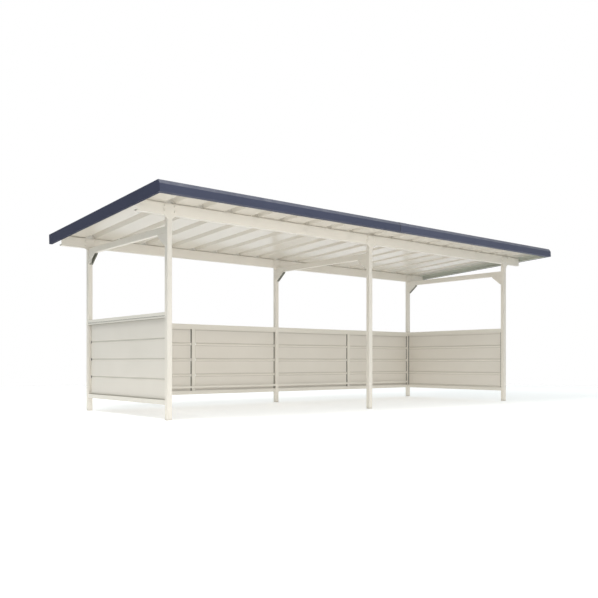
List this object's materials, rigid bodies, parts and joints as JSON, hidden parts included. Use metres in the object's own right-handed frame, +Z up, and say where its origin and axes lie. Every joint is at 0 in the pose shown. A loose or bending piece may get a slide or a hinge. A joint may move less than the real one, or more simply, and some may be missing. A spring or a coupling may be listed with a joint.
{
  "type": "bike shelter",
  "caption": "Open-fronted steel bike shelter: square posts carry a single-pitch folded sheet roof with a dark fascia, and waist-high boarded panels close the ends and rear.",
  "frame": {"origin": "on the ground under the middle of the roof", "axes": "+X along the shelter to the right as seen from its open front, +Y from the open front to the rear panels, +Z up"},
  "size_m": [6.384, 2.67, 2.2222],
  "materials": {
    "cream_frame": "baked cream enamel on steel tube and channel, satin",
    "cream_roof": "colour-coated steel sheet, cream, satin",
    "cream_boards": "colour-coated steel siding, cream, satin",
    "cream_rails": "baked cream enamel on folded steel, satin",
    "slate_fascia": "baked slate blue-grey enamel on folded steel, satin"
  },
  "bodies": {
    "root": {"front_left_post": "cream_frame", "front_middle_post": "cream_frame", "front_right_post": "cream_frame", "rear_left_post": "cream_frame", "rear_middle_post": "cream_frame", "rear_right_post": "cream_frame", "front_left_girder": "cream_frame", "front_right_girder": "cream_frame", "rear_left_girder": "cream_frame", "rear_right_girder": "cream_frame", "left_cross_beam": "cream_frame", "middle_cross_beam": "cream_frame", "right_cross_beam": "cream_frame", "left_front_gusset": "cream_frame", "middle_front_gusset": "cream_frame", "right_front_gusset": "cream_frame", "left_rear_gusset": "cream_frame", "middle_rear_gusset": "cream_frame", "right_rear_gusset": "cream_frame", "roof_sheet_1": "cream_roof", "roof_sheet_2": "cream_roof", "roof_sheet_3": "cream_roof", "roof_sheet_4": "cream_roof", "roof_sheet_5": "cream_roof", "roof_sheet_6": "cream_roof", "front_left_fascia": "slate_fascia", "front_right_fascia": "slate_fascia", "left_verge_fascia": "slate_fascia", "right_verge_fascia": "slate_fascia", "left_end_boards": "cream_boards", "left_end_cap": "cream_rails", "left_end_sill": "cream_rails", "right_end_boards": "cream_boards", "right_end_cap": "cream_rails", "right_end_sill": "cream_rails", "rear_left_boards": "cream_boards", "rear_left_cap": "cream_rails", "rear_left_sill": "cream_rails", "rear_left_stud": "cream_rails", "rear_left_low_rail": "cream_rails", "rear_right_boards": "cream_boards", "rear_right_cap": "cream_rails", "rear_right_sill": "cream_rails", "rear_right_stud": "cream_rails", "rear_right_low_rail": "cream_rails"}
  },
  "joints": []
}
